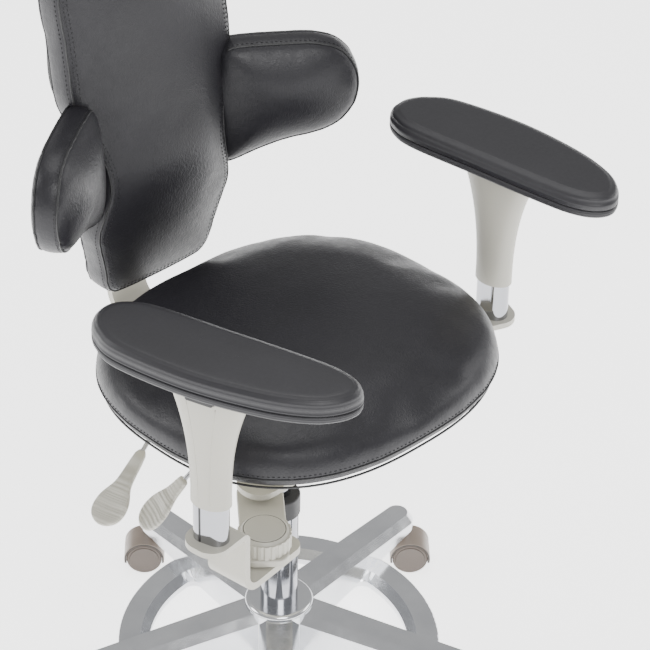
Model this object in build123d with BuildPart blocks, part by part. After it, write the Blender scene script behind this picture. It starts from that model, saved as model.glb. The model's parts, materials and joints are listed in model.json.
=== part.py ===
from build123d import *
import os
from math import cos, sin, radians, degrees, atan2, hypot

# Dentist stool: five-arm aluminium base with a foot ring, gas lift, padded seat,
# winged backrest and two jointed armrests.  Millimetres, +Z up, floor at Z = 0,
# the sitter faces -Y, the lift column stands on the Z axis.

os.makedirs("parts", exist_ok=True)

# ---------------------------------------------------------------- dimensions
arm_count = 5
base_start = 12.1            # direction of the first base arm, degrees
base_radius = 288.0          # column axis to caster stem
arm_floor = 69.0             # underside of the base arms
tip_top = 95.0               # top of a base arm at the caster
hub_top = 142.0
hub_radius = 46.0
arm_width = 46.0
arm_flat = 30.0              # flat top of a base arm, between the facets

ring_radius = 217.0
ring_band = 41.0
ring_floor = 50.0
ring_top = arm_floor
spoke_width = 30.0
spoke_screw_radius = 112.0

tube_radius = 25.0
tube_top = 312.0
collar_top = 320.0
piston_radius = 14.0
running_fit = 0.06

wheel_radius = 25.0
wheel_width = 15.5
wheel_gap = 11.0
caster_trail = 20.0
hood_radius = 28.6
hood_width = 44.0
stem_radius = 5.5
caster_yaws = (-41.9, 138.1, 156.1, 228.1, 300.1)

seat_width = 490.0
seat_depth = 457.0
seat_power = 2.5             # roundness of the seat outline
seat_centre_y = -31.0
seat_tilt = 2.0              # front edge raised, degrees
seat_floor = 533.0
seat_thick = 64.0
tray_floor = 523.0             # underside of the tray that carries the cushion
shell_floor = 500.0
plate_thick = 8.0
mech_floor = 452.0
mech_top = shell_floor - plate_thick
carrier_screw_places = ((-40, -60), (40, -60), (-40, 46), (40, 46))
lever_side = 64.0            # side face of the mechanism
lever_ys = (44.0, -34.0)

back_hinge_y = 150.0
back_hinge_z = 467.0
back_thick = 50.0
back_shell_thick = 8.0
wing_root_x = 104.0
wing_root_y = 219.0
wing_angle = -32.5           # a wing turns forward by this much
wing_length = 178.0
wing_thick = 44.0

link_width = 58.0
link_thick = 10.0
link_length = 99.0
link1_floor = 424.0
link2_floor = 412.0
shelf_top = 508.0
riser_reach = 72.0
post_length = 45.0
post_width = 30.0
post_top = 640.0
housing_floor = 562.0
housing_top = 740.0
pad_floor = 744.0
pad_thick = 32.0
pad_length = 340.0
pad_inward = 15.0              # pad centre from its post, toward the sitter
pad_forward = 13.0             # and toward the front
pad_width = 110.0


def superellipse(width, depth, power, count=48):
    # closed ring of points on a rounded-square outline
    ring = []
    for k in range(count):
        t = radians(360.0 * k / count)
        c = abs(cos(t)) ** (2 / power) * (1 if cos(t) >= 0 else -1)
        s = abs(sin(t)) ** (2 / power) * (1 if sin(t) >= 0 else -1)
        ring.append((width / 2 * c, depth / 2 * s))
    return ring


def toward(start, heading, reach):
    # the point a given distance away in a plan-view direction
    return (start[0] + reach * cos(radians(heading)), start[1] + reach * sin(radians(heading)))


# ---------------------------------------------------------------- star base
def arm_section(reach, top, width, flat):
    # cross-section of a base arm: flat top, sloping facets, upright sides
    with BuildSketch(Plane.YZ.offset(reach)) as section:
        with BuildLine():
            Polyline(
                (-width / 2, arm_floor),
                (-width / 2, top - 12),
                (-flat / 2, top),
                (flat / 2, top),
                (width / 2, top - 12),
                (width / 2, arm_floor),
                close=True,
            )
        make_face()
    return section.sketch


arm_root = arm_section(20, hub_top - 4, arm_width + 8, arm_flat + 6)
arm_tip = arm_section(base_radius, tip_top, arm_width, arm_flat)

with BuildPart() as base_arm:
    add(arm_root)
    add(arm_tip)
    loft()
    with BuildSketch(Plane.XY.offset(arm_floor)):
        with Locations((base_radius, 0)):
            Circle(arm_width / 2)
    extrude(amount=tip_top - 12 - arm_floor)
    with BuildSketch(Plane.XY.offset(tip_top - 12)):
        with Locations((base_radius, 0)):
            Circle(arm_width / 2)
    extrude(amount=12, taper=degrees(atan2((arm_width - arm_flat) / 2, 12)))
    with BuildSketch(Plane.XY.offset(arm_floor)):
        with Locations((base_radius, 0)):
            Circle(stem_radius + running_fit)
    extrude(amount=20, mode=Mode.SUBTRACT)
    with BuildSketch(Plane.XY.offset(arm_floor)):
        with Locations((spoke_screw_radius, 0)):
            Circle(4.0)
    extrude(amount=16, mode=Mode.SUBTRACT)

with BuildPart() as star_base:
    with BuildSketch(Plane.XY.offset(arm_floor)):
        Circle(hub_radius)
    extrude(amount=hub_top - arm_floor)
    fillet(star_base.faces().sort_by(Axis.Z)[-1].edges(), radius=6)
    with PolarLocations(0, arm_count, start_angle=base_start):
        add(base_arm.part)
    with BuildSketch(Plane.XY.offset(arm_floor)):
        Circle(tube_radius)
    extrude(amount=hub_top, mode=Mode.SUBTRACT)
star_base.part.label = "star_base"
export_step(star_base.part, "parts/star_base.step")

# ---------------------------------------------------------------- foot ring
with BuildPart() as foot_ring:
    with BuildSketch(Plane.XY.offset(ring_floor)) as ring_plan:
        Circle(ring_radius)
        Circle(ring_radius - ring_band, mode=Mode.SUBTRACT)
        Circle(62)
        with PolarLocations(0, arm_count, start_angle=base_start):
            with Locations((ring_radius / 2, 0)):
                Rectangle(ring_radius - 20, spoke_width)
        inner_corners = ring_plan.vertices().filter_by(
            lambda v: 55 < hypot(v.X, v.Y) < ring_radius - 5
        )
        fillet(inner_corners, radius=14)
    extrude(amount=ring_top - ring_floor)
    window_edges = foot_ring.faces().sort_by(Axis.Z)[-1].inner_wires()
    for window in window_edges:
        chamfer(window.edges(), length=11)
    rim = foot_ring.edges().filter_by(GeomType.CIRCLE).filter_by(
        lambda e: abs(e.radius - ring_radius) < 0.1
    )
    fillet(rim, radius=3)
    with BuildSketch(Plane.XY.offset(ring_floor)):
        Circle(tube_radius)
        with PolarLocations(spoke_screw_radius, arm_count, start_angle=base_start):
            Circle(4.0)
    extrude(amount=ring_top, mode=Mode.SUBTRACT)
foot_ring.part.label = "foot_ring"
export_step(foot_ring.part, "parts/foot_ring.step")

with BuildPart() as foot_ring_screws:
    with BuildSketch(Plane.XY.offset(ring_floor)):
        with PolarLocations(spoke_screw_radius, arm_count, start_angle=base_start):
            Circle(4.0)
    extrude(amount=ring_top - ring_floor + 14)
    with BuildSketch(Plane.XY.offset(ring_floor)):
        with PolarLocations(spoke_screw_radius, arm_count, start_angle=base_start):
            Circle(6.5)
            RegularPolygon(3.2, 6, mode=Mode.SUBTRACT)
    extrude(amount=-6)
foot_ring_screws.part.label = "foot_ring_screws"
export_step(foot_ring_screws.part, "parts/foot_ring_screws.step")

# ---------------------------------------------------------------- gas lift
with BuildPart() as gas_outer_tube:
    with BuildSketch(Plane.XY.offset(45)):
        Circle(tube_radius)
        Circle(piston_radius + running_fit, mode=Mode.SUBTRACT)
    extrude(amount=tube_top - 45)
gas_outer_tube.part.label = "gas_outer_tube"
export_step(gas_outer_tube.part, "parts/gas_outer_tube.step")

with BuildPart() as gas_collar:
    with BuildSketch(Plane.XY.offset(tube_top - 22)):
        Circle(tube_radius + 2)
        Circle(tube_radius, mode=Mode.SUBTRACT)
    extrude(amount=22)
    with BuildSketch(Plane.XY.offset(tube_top)):
        Circle(tube_radius + 2)
        Circle(piston_radius + running_fit, mode=Mode.SUBTRACT)
    extrude(amount=collar_top - tube_top)
    outer_top = gas_collar.edges().filter_by(GeomType.CIRCLE).sort_by(Axis.Z)[-2:]
    fillet(outer_top.sort_by(lambda e: e.radius)[-1:], radius=3)
gas_collar.part.label = "gas_collar"
export_step(gas_collar.part, "parts/gas_collar.step")

with BuildPart() as gas_piston:
    with BuildSketch(Plane.XY.offset(150)):
        Circle(piston_radius)
    extrude(amount=330)
    chamfer(gas_piston.faces().sort_by(Axis.Z)[-1].edges(), length=1.5)
gas_piston.part.label = "gas_piston"
export_step(gas_piston.part, "parts/gas_piston.step")

# ---------------------------------------------------------------- casters
with BuildPart() as stem_shape:
    with BuildSketch(Plane.XY.offset(42)):
        Circle(stem_radius)
    extrude(amount=46)
    with BuildSketch(Plane.XY.offset(60)):
        Circle(9)
    extrude(amount=8.7)
    chamfer(stem_shape.faces().sort_by(Axis.Z)[-1].edges(), length=1)

with BuildPart() as hood_shape:
    with BuildSketch(Plane.XZ):
        with Locations((caster_trail, wheel_radius)):
            Circle(hood_radius)
        with Locations((caster_trail, -1)):
            Rectangle(3 * hood_radius, 40, mode=Mode.SUBTRACT)
    extrude(amount=hood_width / 2, both=True)
    fillet(hood_shape.edges().filter_by(GeomType.CIRCLE), radius=1.2)
    with BuildSketch(Plane.XY.offset(38)):
        Circle(11)
    extrude(amount=22)
    for side in (-1, 1):
        with BuildSketch(Plane.XZ.offset(-side * wheel_gap / 2)):
            with Locations((caster_trail, wheel_radius)):
                Circle(wheel_radius + 0.7)
        extrude(amount=-side * hood_width, mode=Mode.SUBTRACT)
    with BuildSketch(Plane.XZ):
        with Locations((caster_trail, wheel_radius)):
            Circle(4)
    extrude(amount=hood_width / 2 - 2, both=True)
    with BuildSketch(Plane.XY.offset(42)):
        Circle(stem_radius)
    extrude(amount=30, mode=Mode.SUBTRACT)

with BuildPart() as wheel_shape:
    for side in (-1, 1):
        with BuildSketch(Plane.XZ.offset(-side * (wheel_gap / 2 + 0.5))):
            with Locations((caster_trail, wheel_radius)):
                Circle(wheel_radius)
                Circle(4 + running_fit, mode=Mode.SUBTRACT)
        extrude(amount=-side * wheel_width)
    tread = wheel_shape.edges().filter_by(GeomType.CIRCLE).filter_by(lambda e: e.radius > 20)
    fillet(tread, radius=2)

for k in range(arm_count):
    heading = base_start + 72.0 * k
    foot = toward((0, 0), heading, base_radius)
    place = Location((foot[0], foot[1], 0), (0, 0, caster_yaws[k]))
    for shape, kind in ((stem_shape, "stem"), (hood_shape, "hood"), (wheel_shape, "wheels")):
        label = f"caster_{kind}_{k + 1}"
        with BuildPart() as caster_piece:
            with Locations(place):
                add(shape.part)
        caster_piece.part.label = label
        export_step(caster_piece.part, f"parts/{label}.step")

# ---------------------------------------------------------------- seat
seat_frame = Plane(
    origin=(0, seat_centre_y, seat_floor),
    x_dir=(1, 0, 0),
    z_dir=(0, sin(radians(seat_tilt)), cos(radians(seat_tilt))),
)

with BuildPart() as seat_cushion:
    with BuildSketch(seat_frame):
        with BuildLine():
            Spline(superellipse(seat_width - 4, seat_depth - 4, seat_power), periodic=True)
        make_face()
    extrude(amount=seat_thick)
    fillet(seat_cushion.faces().sort_by(Axis.Z)[-1].edges(), radius=26)
    fillet(seat_cushion.faces().sort_by(Axis.Z)[0].edges(), radius=12)
seat_cushion.part.label = "seat_cushion"
export_step(seat_cushion.part, "parts/seat_cushion.step")

with BuildPart() as seat_shell:
    with BuildSketch(Plane.XY.offset(tray_floor)):
        with Locations((0, seat_centre_y)):
            with BuildLine():
                Spline(superellipse(seat_width - 50, seat_depth - 50, seat_power), periodic=True)
            make_face()
    extrude(amount=40)
    with BuildSketch(Plane.XY.offset(shell_floor)):
        RectangleRounded(290, 250, 40)
    extrude(amount=tray_floor - shell_floor)
    with BuildSketch(seat_frame):
        Rectangle(2 * seat_width, 2 * seat_width)
    extrude(amount=120, mode=Mode.SUBTRACT)
seat_shell.part.label = "seat_shell"
export_step(seat_shell.part, "parts/seat_shell.step")

# ---------------------------------------------------------------- mechanism
with BuildPart() as seat_plate:
    with BuildSketch(Plane.XY.offset(mech_top)) as plate_plan:
        Rectangle(250, 210)
        fillet(plate_plan.vertices(), radius=24)
        with GridLocations(180, 160, 2, 2):
            Circle(4.5, mode=Mode.SUBTRACT)
    extrude(amount=plate_thick)
seat_plate.part.label = "seat_plate"
export_step(seat_plate.part, "parts/seat_plate.step")

with BuildPart() as seat_screws:
    with BuildSketch(Plane.XY.offset(mech_top)):
        with GridLocations(180, 160, 2, 2):
            Circle(4.5)
    extrude(amount=plate_thick)
    with BuildSketch(Plane.XY.offset(mech_top)):
        with GridLocations(180, 160, 2, 2):
            Circle(8)
            RegularPolygon(3.6, 6, mode=Mode.SUBTRACT)
    extrude(amount=-6)
    with BuildSketch(Plane.XY.offset(mech_floor - 8)):
        with Locations(*carrier_screw_places):
            Circle(4.5)
    extrude(amount=8)
    with BuildSketch(Plane.XY.offset(mech_floor - 8)):
        with Locations(*carrier_screw_places):
            Circle(8)
            RegularPolygon(3.6, 6, mode=Mode.SUBTRACT)
    extrude(amount=-6)
seat_screws.part.label = "seat_screws"
export_step(seat_screws.part, "parts/seat_screws.step")

with BuildPart() as mechanism:
    with BuildSketch(Plane.XY.offset(mech_floor)) as mech_plan:
        Rectangle(128, 196)
        fillet(mech_plan.vertices(), radius=14)
    extrude(amount=mech_top - mech_floor)
    with BuildSketch(Plane.XY.offset(mech_floor)):
        Circle(30)
    extrude(amount=-12)
    with BuildSketch(Plane.YZ):
        with Locations((back_hinge_y, back_hinge_z)):
            Circle(13)
        with Locations((back_hinge_y - 32, back_hinge_z + 1)):
            Rectangle(56, 22)
    extrude(amount=50, both=True)
    with BuildSketch(Plane.YZ):
        with Locations((back_hinge_y, back_hinge_z)):
            Rectangle(50, 60)
    extrude(amount=31, both=True, mode=Mode.SUBTRACT)
    with BuildSketch(Plane.YZ):
        with Locations((back_hinge_y, back_hinge_z)):
            Circle(6)
    extrude(amount=60, both=True, mode=Mode.SUBTRACT)
    with BuildSketch(Plane.YZ.offset(-lever_side)):
        with Locations((lever_ys[0], 473), (lever_ys[1], 474)):
            Rectangle(10, 22)
    extrude(amount=18, mode=Mode.SUBTRACT)
    with BuildSketch(Plane.XY.offset(mech_floor - 12)):
        Circle(piston_radius + running_fit)
    extrude(amount=42, mode=Mode.SUBTRACT)
mechanism.part.label = "mechanism"
export_step(mechanism.part, "parts/mechanism.step")

with BuildPart() as back_hinge_pin:
    with BuildSketch(Plane.YZ):
        with Locations((back_hinge_y, back_hinge_z)):
            Circle(6)
    extrude(amount=50, both=True)
    for side in (-1, 1):
        with BuildSketch(Plane.YZ.offset(side * 50)):
            with Locations((back_hinge_y, back_hinge_z)):
                Circle(9)
        extrude(amount=side * 4)
back_hinge_pin.part.label = "back_hinge_pin"
export_step(back_hinge_pin.part, "parts/back_hinge_pin.step")

# ---------------------------------------------------------------- levers
def along(start, end, reach):
    # the point a given distance from start toward end
    run = Vector(end) - Vector(start)
    return Vector(start) + run.normalized() * reach


lever_roots = {"height": (10 - lever_side, lever_ys[0], 471.7), "tilt": (10 - lever_side, lever_ys[1], 473.6)}
lever_bends = {"height": (-186, 40, 477), "tilt": (-188, -45, 480)}
lever_tips = {"height": (-270, 16, 430), "tilt": (-235, -27, 430)}
rod_radius = 3.0
lever_hub_radius = 4.5           # cross barrel the lever rocks on
lever_hub_length = 9.0
spoon_radius = 24.0

for lever in ("height", "tilt"):
    root = Vector(lever_roots[lever])
    bend = Vector(lever_bends[lever])
    tip = Vector(lever_tips[lever])
    grip = (tip - bend).normalized()
    side = grip.cross(Vector(0, 0, 1)).normalized()
    face = side.cross(grip).normalized()
    reach = (tip - bend).length
    handle = reach - 14.0
    with BuildPart() as lever_rod:
        with BuildSketch(Plane(origin=root, z_dir=bend - root)):
            Circle(rod_radius)
        extrude(amount=(bend - root).length)
        with BuildSketch(Plane.XZ.offset(-root.Y - lever_hub_length / 2)):
            with Locations((root.X, root.Z)):
                Circle(lever_hub_radius)
        extrude(amount=lever_hub_length)
        with Locations(bend):
            Sphere(rod_radius)
        with BuildSketch(Plane(origin=bend, z_dir=grip)):
            Circle(rod_radius)
        extrude(amount=30)
    lever_rod.part.label = f"{lever}_lever_rod"
    export_step(lever_rod.part, f"parts/{lever}_lever_rod.step")

    with BuildPart() as lever_paddle:
        with BuildSketch(Plane(origin=bend + face * -4.5, x_dir=grip, z_dir=face)) as spoon_plan:
            with Locations((reach - handle / 2, 0)):
                Rectangle(handle, 17)
            with Locations((reach, 0)):
                Ellipse(spoon_radius + 2, spoon_radius - 1)
            necks = spoon_plan.vertices().filter_by(lambda v: 20 < v.X < reach - 10)
            fillet(necks, radius=12)
        extrude(amount=9)
        upper = lever_paddle.faces().sort_by(Axis((0, 0, 0), face))[-1]
        fillet(upper.edges(), radius=2.5)
        with BuildSketch(Plane(origin=bend, z_dir=grip)):
            Circle(rod_radius)
        extrude(amount=30, mode=Mode.SUBTRACT)
    lever_paddle.part.label = f"{lever}_lever_paddle"
    export_step(lever_paddle.part, f"parts/{lever}_lever_paddle.step")

# ---------------------------------------------------------------- backrest
back_low = 545.0
back_high = 1045.0


def back_curve(offset):
    # side line of the backrest, offset rearward from its front surface;
    # the front bulges toward the sitter at lumbar height
    span = back_high - back_low + 40
    stations = ((0.04, 234.0), (0.2, 221.0), (0.37, 207.0), (0.55, 229.0), (0.77, 246.0), (1.0, 262.0))
    return [(y + offset, back_low - 20 + span * t) for t, y in stations]


def back_edge(sign, inset):
    # one side of the central panel: narrow foot, waist, wide shoulders
    stations = (
        (back_low + inset, 74.0),
        (595.0, 88.0),
        (650.0, 112.0),
        (722.0, 98.0),
        (800.0, 116.0),
        (845.0, 132.0),
        (900.0, 131.0),
        (985.0, 134.0),
    )
    return [(sign * (half - inset), z) for z, half in stations]


back_layers = {}
for name, front, rear, inset in (
    ("back_cushion", 0.0, back_thick, 0.0),
    ("back_shell", back_thick, back_thick + back_shell_thick, 12.0),
):
    with BuildPart() as back_layer:
        with BuildSketch(Plane.YZ):
            with BuildLine():
                near = Spline(back_curve(front))
                far = Spline(back_curve(rear))
                Line(near @ 0, far @ 0)
                Line(near @ 1, far @ 1)
            make_face()
        extrude(amount=200, both=True)
        with BuildSketch(Plane.XZ):
            with BuildLine():
                right = Spline(back_edge(1, inset))
                left = Spline(back_edge(-1, inset))
                Line(right @ 0, left @ 0)
                head_width = 92 - inset
                head_height = back_high - inset
                Spline(right @ 1, (head_width, head_height), (-head_width, head_height), left @ 1)
            make_face()
        extrude(amount=400, both=True, mode=Mode.INTERSECT)
    back_layer.part.label = name
    export_step(back_layer.part, f"parts/{name}.step")
    back_layers[name] = back_layer.part

for side, name in ((-1, "back_wing_right"), (1, "back_wing_left")):
    run = Vector(side * cos(radians(wing_angle)), sin(radians(wing_angle)), 0)
    facing = Vector(0, 0, 1).cross(run) * side
    up = -side
    wing_frame = Plane(origin=(side * wing_root_x, wing_root_y, 0), x_dir=run, z_dir=facing)
    with BuildPart() as back_wing:
        with BuildSketch(wing_frame):
            with BuildLine():
                low = Spline(
                    [(-10, up * 664), (30, up * 684), (80, up * 704), (118, up * 710)]
                )
                high = Spline([(118, up * 857), (60, up * 856), (-10, up * 852)])
                ThreePointArc(low @ 1, (wing_length - 6, up * 784), high @ 0)
                Line(high @ 1, low @ 0)
            make_face()
        extrude(amount=wing_thick)
        wing_front = back_wing.faces().sort_by(Axis((0, 0, 0), facing))[0]
        fillet(wing_front.edges(), radius=10)
        add(back_layers["back_cushion"], mode=Mode.SUBTRACT)
        add(back_layers["back_shell"], mode=Mode.SUBTRACT)
    back_wing.part.label = name
    export_step(back_wing.part, f"parts/{name}.step")

with BuildPart() as back_block:
    with BuildSketch(Plane.XZ.offset(-300)) as block_plan:
        with Locations((0, 632)):
            Rectangle(84, 84)
        fillet(block_plan.vertices(), radius=10)
    extrude(amount=60)
    add(back_layers["back_shell"], mode=Mode.SUBTRACT)
    add(back_layers["back_cushion"], mode=Mode.SUBTRACT)
    keep = back_block.solids().sort_by(Axis.Y)[-1]
with BuildPart() as back_spacer:
    add(keep)
back_spacer.part.label = "back_spacer"
export_step(back_spacer.part, "parts/back_spacer.step")

with BuildPart() as back_bar:
    with BuildSketch(Plane.YZ) as bar_side:
        with BuildLine():
            Polyline(
                (back_hinge_y, back_hinge_z - 6),
                (310, back_hinge_z - 6),
                (310, 690),
                (300, 690),
                (300, back_hinge_z + 6),
                (back_hinge_y, back_hinge_z + 6),
                close=True,
            )
        make_face()
        outer_bend = bar_side.vertices().filter_by(lambda v: v.X > 305 and v.Y < 500)
        fillet(outer_bend, radius=34)
        inner_bend = bar_side.vertices().filter_by(
            lambda v: 290 < v.X < 301 and v.Y < 500
        )
        fillet(inner_bend, radius=23)
    extrude(amount=29, both=True)
    with BuildSketch(Plane.YZ):
        with Locations((back_hinge_y, back_hinge_z)):
            Circle(12.5)
    extrude(amount=30.5, both=True)
    with BuildSketch(Plane.YZ):
        with Locations((back_hinge_y, back_hinge_z)):
            Circle(6 + running_fit)
    extrude(amount=40, both=True, mode=Mode.SUBTRACT)
    with BuildSketch(Plane.XZ.offset(-320)):
        with Locations((0, 632)):
            with GridLocations(0, 52, 1, 2):
                Circle(4)
    extrude(amount=30, mode=Mode.SUBTRACT)
back_bar.part.label = "back_bar"
export_step(back_bar.part, "parts/back_bar.step")

with BuildPart() as back_screws:
    with BuildSketch(Plane.XZ.offset(-310)):
        with Locations((0, 632)):
            with GridLocations(0, 52, 1, 2):
                Circle(4)
    extrude(amount=10)
    with BuildSketch(Plane.XZ.offset(-310)):
        with Locations((0, 632)):
            with GridLocations(0, 52, 1, 2):
                Circle(7.5)
                RegularPolygon(3.2, 6, mode=Mode.SUBTRACT)
    extrude(amount=-5)
back_screws.part.label = "back_screws"
export_step(back_screws.part, "parts/back_screws.step")

# ---------------------------------------------------------------- armrests
arm_pivot = 115.0            # sideways place of the inner pivots
arm_pivot_y = -88.0
arm_poses = {
    # side sign, heading of the inner link, of the outer link, of the pad
    "right": (-1, -128.8, -171.2, -70.6),
    "left": (1, 24.6, -20.4, -83.2),
}

with BuildPart() as arm_carrier:
    with BuildSketch(Plane.XY.offset(mech_floor - 8)) as carrier_plan:
        with Locations((0, arm_pivot_y)):
            Rectangle(2 * arm_pivot + 56, 56)
        fillet(carrier_plan.vertices(), radius=26)
        with Locations((0, -14)):
            Rectangle(104, 148)
        Circle(34, mode=Mode.SUBTRACT)
        with Locations(*carrier_screw_places):
            Circle(4.5, mode=Mode.SUBTRACT)
    extrude(amount=8)
    with BuildSketch(Plane.XY.offset(link1_floor + link_thick + 0.1)):
        with Locations((-arm_pivot, arm_pivot_y), (arm_pivot, arm_pivot_y)):
            Circle(19)
    extrude(amount=mech_floor - 8 - link1_floor - link_thick - 0.1)
    with BuildSketch(Plane.XY.offset(link1_floor)):
        with Locations((-arm_pivot, arm_pivot_y), (arm_pivot, arm_pivot_y)):
            Circle(6)
    extrude(amount=40, mode=Mode.SUBTRACT)
arm_carrier.part.label = "arm_carrier"
export_step(arm_carrier.part, "parts/arm_carrier.step")


def pad_outline(place, heading, side, grow=0.0):
    # plan of an arm pad: rounded rear, narrower front, bowed outward
    bow = 14.0 * side
    half = pad_length / 2 + grow
    stations = (
        (-half, 0.0, 0.0),
        (-half + 22, 0.34, 0.31),
        (-half + 60, 0.47, 0.46),
        (-0.1 * half, 0.5, 0.5),
        (0.42 * half, 0.46, 0.46),
        (half - 44, 0.37, 0.38),
        (half - 12, 0.2, 0.24),
        (half, 0.0, 0.0),
    )
    width = pad_width + 2 * grow
    ring = []
    for s, out, _ in stations:
        ring.append((s, bow * (1 - (s / half) ** 2) + side * width * out))
    for s, _, inn in reversed(stations[1:-1]):
        ring.append((s, bow * (1 - (s / half) ** 2) - side * width * inn))
    c = cos(radians(heading))
    d = sin(radians(heading))
    return [(place[0] + s * c - t * d, place[1] + s * d + t * c) for s, t in ring]


for name in ("right", "left"):
    side, head1, head2, head_pad = arm_poses[name]
    pivot = (side * arm_pivot, arm_pivot_y)
    elbow = toward(pivot, head1, link_length)
    post = toward(elbow, head2, link_length)
    mid1 = toward(pivot, head1, link_length / 2)

    with BuildPart() as arm_pivot_bolt:
        with BuildSketch(Plane.XY.offset(link1_floor - 6)):
            with Locations(pivot):
                Circle(11)
                RegularPolygon(4.4, 6, mode=Mode.SUBTRACT)
        extrude(amount=5.9)
        with BuildSketch(Plane.XY.offset(link1_floor - 1)):
            with Locations(pivot):
                Circle(6)
        extrude(amount=mech_floor - link1_floor + 1)
    arm_pivot_bolt.part.label = f"arm_pivot_bolt_{name}"
    export_step(arm_pivot_bolt.part, f"parts/arm_pivot_bolt_{name}.step")

    with BuildPart() as inner_link:
        with BuildSketch(Plane.XY.offset(link1_floor)) as link_plan:
            with Locations(Location((mid1[0], mid1[1], 0), (0, 0, head1))):
                with Locations((17, 0)):
                    Rectangle(link_length + 34, link_width)
            far_corners = link_plan.vertices().sort_by_distance((pivot[0], pivot[1], 0))[2:]
            fillet(far_corners, radius=17)
            with Locations(pivot):
                Circle(link_width / 2)
                Circle(6 + running_fit, mode=Mode.SUBTRACT)
            with Locations(elbow):
                Circle(6 + running_fit, mode=Mode.SUBTRACT)
        extrude(amount=link_thick)
        rims = inner_link.faces().filter_by(Axis.Z).edges()
        outer_rims = rims.filter_by(lambda e: e.length > 60 or e.geom_type != GeomType.CIRCLE)
        chamfer(outer_rims, length=1.2)
    inner_link.part.label = f"inner_link_{name}"
    export_step(inner_link.part, f"parts/inner_link_{name}.step")

    bracket_frame = Plane(
        origin=(elbow[0], elbow[1], 0),
        x_dir=(cos(radians(head2)), sin(radians(head2)), 0),
        z_dir=(sin(radians(head2)), -cos(radians(head2)), 0),
    )
    with BuildPart() as outer_link:
        with BuildSketch(bracket_frame) as bend_side:
            with BuildLine():
                Polyline(
                    (-44, link2_floor),
                    (riser_reach, link2_floor),
                    (riser_reach, shelf_top - 8),
                    (link_length + 29, shelf_top - 8),
                    (link_length + 29, shelf_top),
                    (riser_reach - 9, shelf_top),
                    (riser_reach - 9, link2_floor + link_thick),
                    (-44, link2_floor + link_thick),
                    close=True,
                )
            make_face()
            wide_bend = bend_side.vertices().filter_by(
                lambda v: abs(v.Y - link2_floor) < 0.1 and v.X > 50
            )
            fillet(wide_bend, radius=26)
            tight_bend = bend_side.vertices().filter_by(
                lambda v: abs(v.Y - link2_floor - link_thick) < 0.1 and v.X > 50
            )
            fillet(tight_bend, radius=16)
            high_bend = bend_side.vertices().filter_by(
                lambda v: abs(v.Y - shelf_top) < 0.1 and v.X < 80
            )
            fillet(high_bend, radius=12)
        extrude(amount=link_width / 2, both=True)
        tall = outer_link.edges().filter_by(Axis.Z).filter_by(lambda e: e.length < 12)
        shelf_corners = tall.filter_by(lambda e: e.center().Z > 490)
        fillet(shelf_corners, radius=24)
        tail_corners = outer_link.edges().filter_by(Axis.Z).filter_by(
            lambda e: e.center().Z < 430 and e.length < 12
        )
        fillet(tail_corners, radius=17)
        with BuildSketch(Plane.XY.offset(link2_floor)):
            with Locations(elbow):
                Circle(6)
        extrude(amount=link_thick, mode=Mode.SUBTRACT)
    outer_link.part.label = f"outer_link_{name}"
    export_step(outer_link.part, f"parts/outer_link_{name}.step")

    knob_floor = link1_floor + link_thick + 0.1
    with BuildPart() as elbow_stud:
        with BuildSketch(Plane.XY.offset(link2_floor - 6)):
            with Locations(elbow):
                RegularPolygon(10, 6)
        extrude(amount=6)
        with BuildSketch(Plane.XY.offset(link2_floor)):
            with Locations(elbow):
                Circle(6)
        extrude(amount=36)
        with BuildSketch(Plane.XY.offset(link2_floor + link_thick)):
            with Locations(elbow):
                Circle(16)
        extrude(amount=1.9)
    elbow_stud.part.label = f"elbow_stud_{name}"
    export_step(elbow_stud.part, f"parts/elbow_stud_{name}.step")

    with BuildPart() as elbow_knob:
        with BuildSketch(Plane.XY.offset(knob_floor)):
            with Locations(elbow):
                Circle(33)
                with PolarLocations(34.4, 24):
                    Circle(2.6, mode=Mode.SUBTRACT)
        extrude(amount=20)
        with BuildSketch(Plane.XY.offset(knob_floor + 20)):
            with Locations(elbow):
                Circle(30)
        extrude(amount=3, taper=45)
        with BuildSketch(Plane.XY.offset(knob_floor)):
            with Locations(elbow):
                Circle(6 + running_fit)
        extrude(amount=17, mode=Mode.SUBTRACT)
    elbow_knob.part.label = f"elbow_knob_{name}"
    export_step(elbow_knob.part, f"parts/elbow_knob_{name}.step")

    turned = Location((post[0], post[1], 0), (0, 0, head_pad))
    with BuildPart() as arm_post:
        with BuildSketch(Plane.XY.offset(shelf_top)):
            with Locations(turned):
                SlotOverall(post_length, post_width)
                SlotOverall(post_length - 5, post_width - 5, mode=Mode.SUBTRACT)
        extrude(amount=post_top - shelf_top)
    arm_post.part.label = f"arm_post_{name}"
    export_step(arm_post.part, f"parts/arm_post_{name}.step")

    with BuildPart() as arm_housing:
        for height, length, width in (
            (housing_floor, 52, 37),
            (628, 57, 39),
            (684, 78, 44),
            (housing_top, 122, 52),
        ):
            with BuildSketch(Plane.XY.offset(height)):
                with Locations(turned):
                    Ellipse(length / 2, width / 2)
        loft()
        with BuildSketch(Plane.XY.offset(housing_floor)):
            with Locations(turned):
                SlotOverall(post_length + 2 * running_fit, post_width + 2 * running_fit)
        extrude(amount=690 - housing_floor, mode=Mode.SUBTRACT)
        with BuildSketch(Plane.XY.offset(housing_top)):
            with Locations(turned):
                Circle(5 + running_fit)
        extrude(amount=-16, mode=Mode.SUBTRACT)
    outer_side = Vector(-sin(radians(head_pad)), cos(radians(head_pad)), 0) * side
    press_frame = Plane(
        origin=Vector(post[0], post[1], housing_top - 12) + outer_side * 10,
        x_dir=(cos(radians(head_pad)), sin(radians(head_pad)), 0),
        z_dir=outer_side,
    )
    with BuildPart() as arm_housing_cut:
        add(arm_housing.part)
        with BuildSketch(press_frame):
            Rectangle(36.4, 14.4)
        extrude(amount=40, mode=Mode.SUBTRACT)
    arm_housing_cut.part.label = f"arm_housing_{name}"
    export_step(arm_housing_cut.part, f"parts/arm_housing_{name}.step")

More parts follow.
